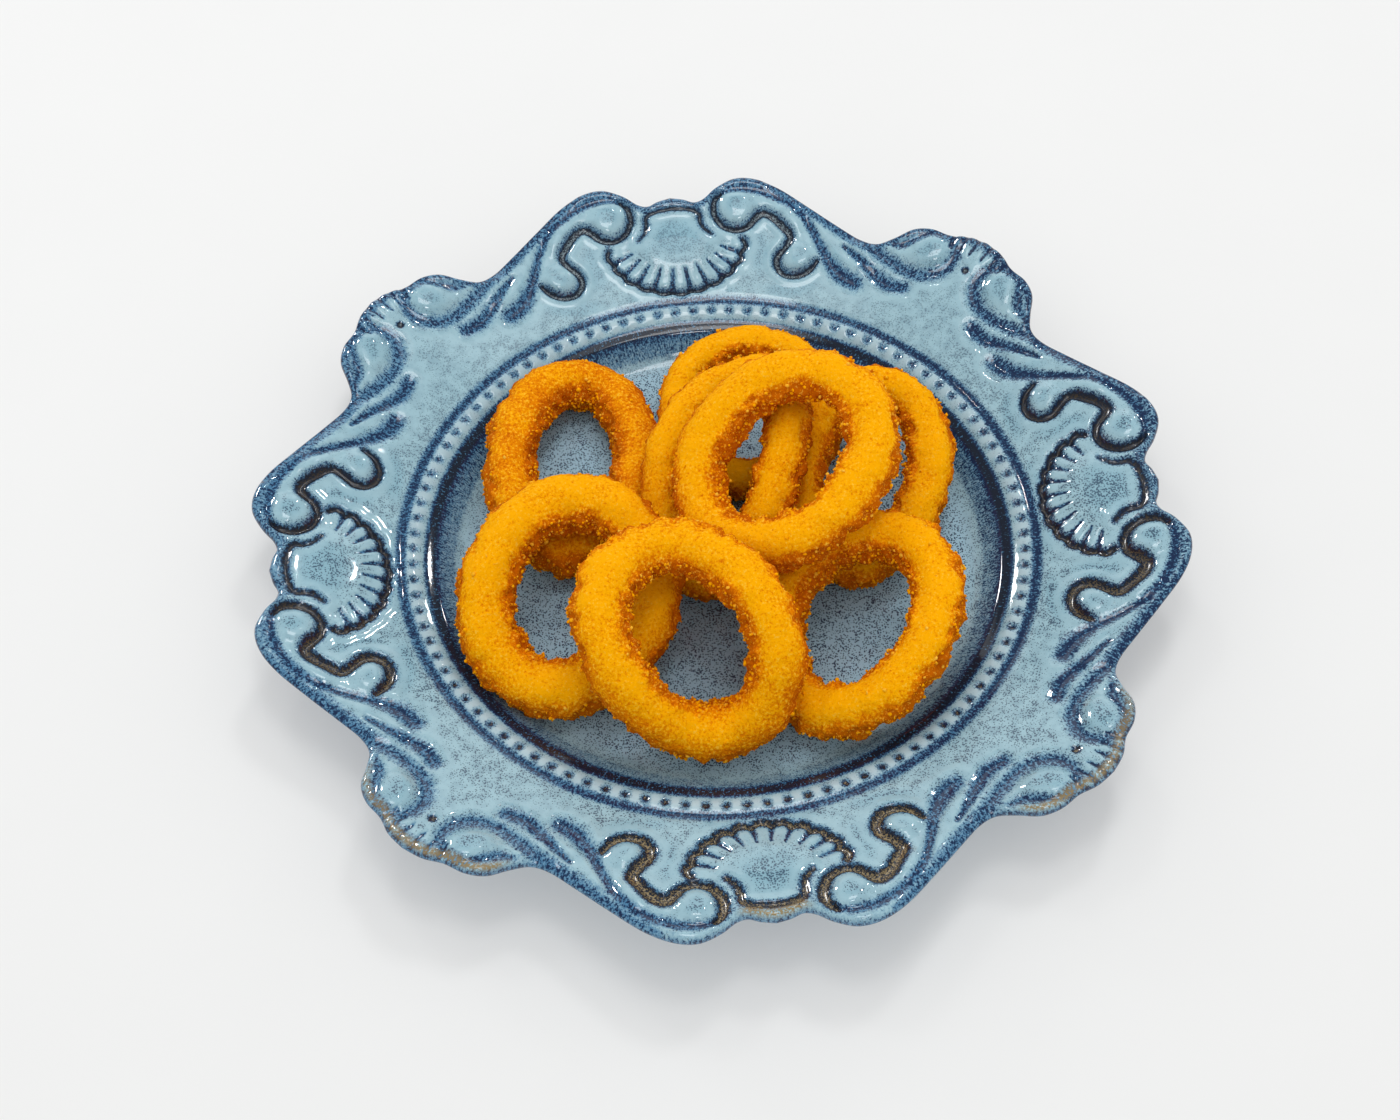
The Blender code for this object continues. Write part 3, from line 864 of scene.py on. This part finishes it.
def granules_at(points, size, seed):
    """Rounded granules of one size in metres: 0 between them, up to 1 on the tallest."""
    shift = Vector((seed, 0.53 * seed, 0.29 * seed))
    heights = np.empty(len(points))
    for index, point in enumerate(points):
        gaps, places = noise.voronoi(Vector(point) / size + shift)
        tall = 0.45 + 0.55 * noise.cell(places[0] * 7.3)
        heights[index] = max(0.0, 1.0 - 1.25 * gaps[0]) * tall
    return heights


def crumb_zone(inward, lift, patches):
    """Where the crumb is coarse: round the hole, along the lower flanks and in patches."""
    hole = smoothstep(0.35, 0.95, inward + 0.25 * patches)
    flank = smoothstep(0.75, 0.05, lift + 0.35 * patches)
    return np.clip(np.maximum(hole, 0.9 * flank), 0.0, 1.0)


def build_ring(node, looks, material, rng):
    """One breaded ring in the form of its solid.

    Returns its points, their normals and how coarse its crumb is there, for loose crumbs.
    """
    mesh = ring_skin(node)
    mesh.name = node + "_crust"
    points = read_points(mesh)
    normals = np.empty(len(points) * 3)
    mesh.vertex_normals.foreach_get("vector", normals)
    normals = normals.reshape(-1, 3)
    inward, lift = ring_sides(points)
    seed = rng.uniform(5.0, 90.0)
    lumps = noise_at(points, LUMP_SIZE, seed)
    dents = noise_at(points, DENT_SIZE, seed + 11.0)
    coarse = crumb_zone(inward, lift, dents)
    grains = granules_at(points, GRAIN_SIZE, seed + 23.0)
    sand = granules_at(points, SAND_SIZE, seed + 47.0)
    chips = noise_at(points, CHIP_SIZE, seed + 31.0)
    rise = (TUBE_SHRINK + looks.lump_height * (lumps + 0.5 * dents)
            + looks.grain_height * (grains * (0.2 + 0.8 * coarse) + 0.24 * sand
                                    + (1.8 * chips + 1.2 * dents) * coarse))
    points = points + normals * rise[:, None]
    write_points(mesh, points)
    # The mark mixes toasting with painted shade: browner where the crumb is coarse; darker towards
    # the underside and on faces that turn away from straight up, as painted shade; lighter on
    # lumps; lighter on the tops of grains and sand than between them, partly crumb colour and
    # partly painted shade.
    toast_and_shade = (0.62 * coarse + 0.35 * smoothstep(0.1, -0.7, lift) - 0.16 * lumps
                + 0.52 * smoothstep(0.88, 0.2, normals[:, 2])
                - 0.8 * (grains - 0.3) * coarse - 0.45 * (sand - 0.3) * (0.5 + 0.5 * coarse))
    set_mark(mesh, "toast_and_shade", toast_and_shade)
    piece = new_piece(mesh.name, mesh, material)
    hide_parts(node)
    return points, normals, coarse


def scatter(name, shape, places, sizes, toast_and_shade, material, rng):
    """One joined mesh of many copies of a crumb, each turned, squashed and tinted."""
    corners = np.array([vert.co for vert in shape.vertices])
    faces = np.array([polygon.vertices for polygon in shape.polygons])
    count = len(places)
    verts = np.empty((count, len(corners), 3))
    for index, (place, size) in enumerate(zip(places, sizes)):
        turn = Matrix.Rotation(rng.uniform(0, 2 * math.pi), 3, Vector(
            (rng.gauss(0, 1), rng.gauss(0, 1), rng.gauss(0, 1))))
        squash = np.array([rng.uniform(0.6, 1.3), rng.uniform(0.6, 1.2), rng.uniform(0.45, 1.0)])
        verts[index] = (corners * squash * size) @ np.array(turn).T + place
    mesh = bpy.data.meshes.new(name)
    offsets = (np.arange(count) * len(corners))[:, None, None]
    mesh.from_pydata(verts.reshape(-1, 3), [], (faces[None] + offsets).reshape(-1, 3))
    set_mark(mesh, "toast_and_shade", np.repeat(toast_and_shade, len(corners)))
    return new_piece(name, mesh, material)


def crumb_shape(name, create, tallest, rng, **steps):
    """One rough crumb about one unit in radius, made from one of bmesh's round shapes."""
    bm = bmesh.new()
    create(bm, radius=1.0, **steps)
    for vert in bm.verts:
        vert.co *= rng.uniform(0.7, tallest)
    return finished_mesh(name, bm)


def colour_property(name, description, colour):
    """An opaque colour that a user may change, with its default."""
    return FloatVectorProperty(name=name, description=description, default=(*colour, 1.0),
                               size=4, subtype="COLOR", min=0.0, max=1.0)


class PlateLooks(bpy.types.PropertyGroup):
    carve_scale: FloatProperty(
        name="Carving", description="How deep the carving is against its drawn depth",
        default=1.0, min=0.0, max=2.0, subtype="FACTOR")
    ground_colour: colour_property(
        "Ground", "The glaze on the rim's plain ground", (0.272, 0.437, 0.515))
    light_colour: colour_property(
        "Light ground", "Paler clouds in the ground", (0.345, 0.54, 0.618))
    shade_colour: colour_property(
        "Hollows", "Bluer glaze in the shells and between the ornament", (0.19, 0.38, 0.48))
    floor_colour: colour_property(
        "Well floor", "The slate blue glaze on the well's floor", (0.375, 0.585, 0.71))
    pad_colour: colour_property(
        "Bead pads", "The whitish glaze between the beads' dimples", (0.52, 0.65, 0.70))
    stream_colour: colour_property(
        "Streams", "Stronger blue where the glaze starts to pool", (0.065, 0.20, 0.36))
    pool_colour: colour_property(
        "Pools", "Navy speckles and pools", (0.010, 0.026, 0.075))
    ink_colour: colour_property(
        "Outlines", "The nearly black line round each cut", (0.009, 0.015, 0.030))
    brown_colour: colour_property(
        "Brown", "The golden brown where the glaze breaks", (0.29, 0.22, 0.11))
    umber_colour: colour_property(
        "Umber", "The darker brown in the cuts", (0.045, 0.033, 0.022))


class CrustLooks(bpy.types.PropertyGroup):
    lump_height: FloatProperty(
        name="Lumps", description="Height of the crust's broad lumps",
        default=0.0008, min=0.0, max=0.002, unit="LENGTH")
    grain_height: FloatProperty(
        name="Grains", description="Height of the coarse crumb round the holes",
        default=0.00085, min=0.0, max=0.003, unit="LENGTH")
    gold_colour: colour_property(
        "Gold", "The crust's bright tops", (1.0, 0.435, 0.001))
    # Toasted and dark crust; these colours also carry the painted shade on the flanks, the
    # undersides and the walls of the holes.
    toasted_and_shaded_colour: colour_property(
        "Toasted and shaded", "The crust on its flanks", (0.77, 0.205, 0.001))
    burnt_and_shaded_colour: colour_property(
        "Dark", "The crust deep in the holes", (0.45, 0.078, 0.001))
    # The palest crumbs, and the painted glints on the tallest grains.
    pale_and_glint_colour: colour_property(
        "Light grains", "The palest grains of the crust", (1.0, 0.60, 0.07))
    seed: IntProperty(
        name="Seed", description="Which draw of lumps and crumbs is used", default=7, min=0)


class StageLooks(bpy.types.PropertyGroup):
    floor_size: FloatProperty(
        name="Floor", description="Side of the pale floor", default=6.0, min=1.0, unit="LENGTH")
    floor_colour: colour_property(
        "Floor colour", "The plain pale floor", (0.60, 0.605, 0.60))
    floor_glow: FloatProperty(
        name="Floor glow", description="Light of the floor's own, which softens its shadows",
        default=0.255, min=0.0, max=1.0)
    key_power: FloatProperty(
        name="Key light", description="Power of the softbox behind and to the right",
        default=5.2, min=0.0, unit="POWER")
    second_power: FloatProperty(
        name="Second light", description="Power of the softbox behind and to the left",
        default=2.0, min=0.0, unit="POWER")
    top_power: FloatProperty(
        name="Top light", description="Power of the large softbox overhead",
        default=2.4, min=0.0, unit="POWER")
    glint_power: FloatProperty(
        name="Glints", description="Power of the lamps that only the glaze mirrors",
        default=2.2, min=0.0, unit="POWER")
    ambient: FloatProperty(
        name="Ambient", description="Strength of the even light from all round",
        default=0.80, min=0.0, max=3.0)
    mirrored: FloatProperty(
        name="Mirrored ambient", description="Strength of the even light in reflections",
        default=0.2, min=0.0, max=3.0)


class SQUID_OT_plate(bpy.types.Operator):
    """Build the glazed stoneware plate with its carved rim"""
    bl_idname = "squid.plate"
    bl_label = "Build Plate"

    def execute(self, context):
        looks = context.scene.squid_plate
        mesh = finished_mesh("stoneware_plate", stoneware_blank())
        points = read_points(mesh) / MM
        wide, radius, drop, inset, angle = fit_outline(points)
        across, out = fold(points[:, 0], points[:, 1])
        height, marks = carve(across, out, wide, angle, inset, looks.carve_scale)
        on_top = (1.0 - smoothstep(0.2, LIP_FADE, drop)) * smoothstep(79.4, 81.0, wide)
        points[:, 2] += height * on_top + (cone(wide) - cone(radius))
        write_points(mesh, points * MM)
        finish_marks(marks, on_top, across, wide, radius, drop, inset)
        for name, values in marks.items():
            set_mark(mesh, name, values)
        piece = new_piece("stoneware_plate", mesh, glaze_material(looks))
        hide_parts(PLATE_NODE)
        return {"FINISHED"}


class SQUID_OT_rings(bpy.types.Operator):
    """Build the breaded squid rings with their crumbs"""
    bl_idname = "squid.rings"
    bl_label = "Build Rings"

    def execute(self, context):
        looks = context.scene.squid_crust
        rng = random.Random(looks.seed)
        picker = np.random.default_rng(looks.seed)
        tree = crumb_group()
        crust = crumb_material("golden_crust", looks, tree)
        # One ring's crust is darker all over, as painted shade.
        darker = crumb_material("shaded_crust", looks, tree, DARKER_SHADE)
        crumb = crumb_material("loose_crumb", looks, tree)
        grains, flecks = ([], [], []), ([], [], [])
        for node in RING_NODES:
            material = darker if node == DARKER_NODE else crust
            points, normals, coarse = build_ring(node, looks, material, rng)
            for pile, count, weight, radii in (
                    (grains, GRAINS_PER_RING, coarse ** 2 + 0.01, GRAIN_RADII),
                    (flecks, FLECKS_PER_RING, 0.14 + coarse, FLECK_RADII)):
                chosen = picker.choice(len(points), count, p=weight / weight.sum())
                sizes = picker.uniform(*radii, count) * MM
                pile[0].append(points[chosen] + normals[chosen] * sizes[:, None] * CRUMB_REST)
                pile[1].append(sizes)
                pile[2].append(picker.uniform(*CRUMB_TINTS, count) + 0.15 * coarse[chosen])
        grain = crumb_shape("grain", bmesh.ops.create_icosphere, 1.15, rng, subdivisions=1)
        fleck = crumb_shape("fleck", bmesh.ops.create_uvsphere, 1.2, rng,
                            u_segments=4, v_segments=2)
        for name, shape, pile in (("crumb_grains", grain, grains), ("crumb_flecks", fleck, flecks)):
            scatter(name, shape, *(np.concatenate(part) for part in pile), crumb, rng)
            bpy.data.meshes.remove(shape)
        return {"FINISHED"}


def softbox(name, towards, distance, size, power, lit=True, mirrored=True):
    """A square area light in one direction from the plate, facing it.

    It lights the pieces, or is mirrored in the glaze, or both.
    """
    light = bpy.data.lights.new(name, "AREA")
    light.shape = "SQUARE"
    light.size = size
    light.energy = power
    lamp = new_object(name, light)
    lamp.location = Vector(towards).normalized() * distance
    lamp.rotation_euler = Vector(towards).to_track_quat("Z", "Y").to_euler()
    lamp.visible_diffuse = lit
    lamp.visible_glossy = mirrored


def build_floor(looks):
    """The plain pale floor, with a faint light of its own."""
    bm = bmesh.new()
    bmesh.ops.create_grid(bm, x_segments=1, y_segments=1, size=looks.floor_size / 2)
    mesh = finished_mesh("pale_floor", bm)
    material, shader, graph = new_material(
        "pale_floor", Metallic=0.0, Roughness=0.7, Emission_Color=(1.0, 1.0, 1.0, 1.0),
        Emission_Strength=looks.floor_glow)
    shade = graph.noise(graph.millimetres(), 0.02, 3.0, 0.5)
    dim = tuple(0.97 * value for value in looks.floor_colour[:3]) + (1.0,)
    graph.feed(graph.mix(shade, looks.floor_colour, dim), shader.inputs["Base Color"])
    mesh.materials.append(material)
    floor = new_object("pale_floor", mesh)


def build_lights(looks):
    """Softboxes behind the plate and above it, and small lamps for the glaze's highlights."""
    softbox("key_softbox", (0.264, 0.50, 0.825), LAMP_DISTANCE, LAMP_SIZE, looks.key_power,
            mirrored=False)
    softbox("second_softbox", (-0.23, 0.58, 0.78), LAMP_DISTANCE, LAMP_SIZE, looks.second_power,
            mirrored=False)
    softbox("top_softbox", (0.03, 0.08, 1.0), TOP_DISTANCE, TOP_SIZE, looks.top_power)
    for name, towards, size, share in GLINTS:
        softbox(name, towards, LAMP_DISTANCE, size, share * looks.glint_power, lit=False)


def build_surroundings(looks):
    """Even white light from all round, which is weaker in reflections."""
    world = bpy.data.worlds.new("studio")
    world.use_nodes = True
    background = world.node_tree.nodes["Background"]
    background.inputs["Color"].default_value = (1.0, 1.0, 1.0, 1.0)
    sky = Graph(world.node_tree)
    glossy = sky.add("ShaderNodeLightPath").outputs["Is Glossy Ray"]
    strength = sky.add("ShaderNodeMix", {0: glossy, 2: looks.ambient, 3: looks.mirrored})
    sky.feed(strength.outputs[0], background.inputs["Strength"])
    bpy.context.scene.world = world


def build_camera():
    """The photograph's camera."""
    azimuth, elevation = CAMERA_AZIMUTH, CAMERA_ELEVATION
    back = Vector((math.sin(azimuth) * math.cos(elevation),
                   -math.cos(azimuth) * math.cos(elevation), math.sin(elevation)))
    side = Vector((0, 0, 1)).cross(back).normalized()
    up = back.cross(side)
    right = math.cos(CAMERA_ROLL) * side + math.sin(CAMERA_ROLL) * up
    lens = bpy.data.cameras.new("photo_camera")
    lens.sensor_width = SENSOR_WIDTH
    lens.lens = SENSOR_WIDTH * FOCAL_PIXELS / PHOTO_WIDTH
    lens.clip_start = 0.01
    camera = new_object("photo_camera", lens)
    turn = Matrix((right, back.cross(right), back)).transposed().to_4x4()
    camera.matrix_world = Matrix.Translation(CAMERA_TARGET + back * CAMERA_DISTANCE) @ turn
    bpy.context.scene.camera = camera


class SQUID_OT_stage(bpy.types.Operator):
    """Set up the pale floor, the soft studio lights and the camera"""
    bl_idname = "squid.stage"
    bl_label = "Build Stage"

    def execute(self, context):
        looks = context.scene.squid_stage
        build_floor(looks)
        build_lights(looks)
        build_surroundings(looks)
        context.scene.view_settings.view_transform = "Standard"
        build_camera()
        return {"FINISHED"}


class SQUID_PT_panel(bpy.types.Panel):
    """Sizes, colours and steps of the plate of squid rings"""
    bl_idname = "SQUID_PT_panel"
    bl_label = "Squid Plate"
    bl_space_type = "VIEW_3D"
    bl_region_type = "UI"
    bl_category = "Squid Plate"

    def draw(self, context):
        groups = (("squid.plate", context.scene.squid_plate),
                  ("squid.rings", context.scene.squid_crust),
                  ("squid.stage", context.scene.squid_stage))
        for operator, looks in groups:
            box = self.layout.box()
            for name in looks.__annotations__:
                box.prop(looks, name)
            box.operator(operator)


CLASSES = (PlateLooks, CrustLooks, StageLooks, SQUID_OT_plate, SQUID_OT_rings,
           SQUID_OT_stage, SQUID_PT_panel)


def register():
    for cls in CLASSES:
        bpy.utils.register_class(cls)
    bpy.types.Scene.squid_plate = PointerProperty(type=PlateLooks)
    bpy.types.Scene.squid_crust = PointerProperty(type=CrustLooks)
    bpy.types.Scene.squid_stage = PointerProperty(type=StageLooks)


def unregister():
    for name in ("squid_plate", "squid_crust", "squid_stage"):
        delattr(bpy.types.Scene, name)
    for cls in reversed(CLASSES):
        bpy.utils.unregister_class(cls)


def main():
    register()
    bpy.ops.squid.plate()
    bpy.ops.squid.rings()
    bpy.ops.squid.stage()


if __name__ == "__main__":
    main()
